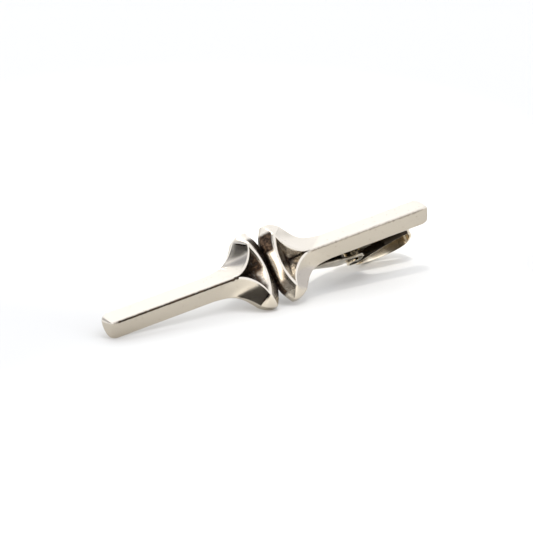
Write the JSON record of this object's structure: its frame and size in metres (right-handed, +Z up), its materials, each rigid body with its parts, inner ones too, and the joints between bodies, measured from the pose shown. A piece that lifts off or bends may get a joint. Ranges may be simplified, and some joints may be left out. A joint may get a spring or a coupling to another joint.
{
  "type": "tie clip",
  "caption": "Silver tie clip: a gabled bar in two halves flaring into lobes round three-cornered pits, with a sprung alligator clip on the back.",
  "frame": {"origin": "centre of the bounding box at its bottom: the table that the clip lies on", "axes": "+X level, along the bar towards the clip's thumb lever; +Z up from the table; the decorated front faces -Y and up, the clip faces +Y and down"},
  "size_m": [0.059, 0.0138, 0.0112],
  "materials": {
    "cast_silver": "polished cast silver with a warm tint, darkened in the pits and groove",
    "pressed_silver": "rolled and pressed silver-plated sheet, bright with fine drawing lines",
    "pin_wire": "drawn wire, ends headed over",
    "spring_bronze": "hard-rolled phosphor bronze strip, slightly browned"
  },
  "bodies": {
    "clip_body": {"left_bar_half": "cast_silver", "right_bar_half": "cast_silver", "backing_strip": "pressed_silver", "hinge_bracket": "pressed_silver", "hinge_pin": "pin_wire", "hairpin_spring": "spring_bronze"},
    "rocker": {"jaw_arm": "pressed_silver", "thumb_lever": "pressed_silver", "lever_rivet": "pin_wire"}
  },
  "joints": [
    {"name": "jaw_pivot", "type": "hinge", "parent": "clip_body", "child": "rocker", "pos_m": [0.01774, 0.00157, 0.00477], "axis": [0.1058, -0.5992, -0.7936], "range_deg": [0, 25], "stiffness_Nm_per_rad": 0.05, "springref_deg": -14.32, "deforming": ["hairpin_spring"]}
  ]
}
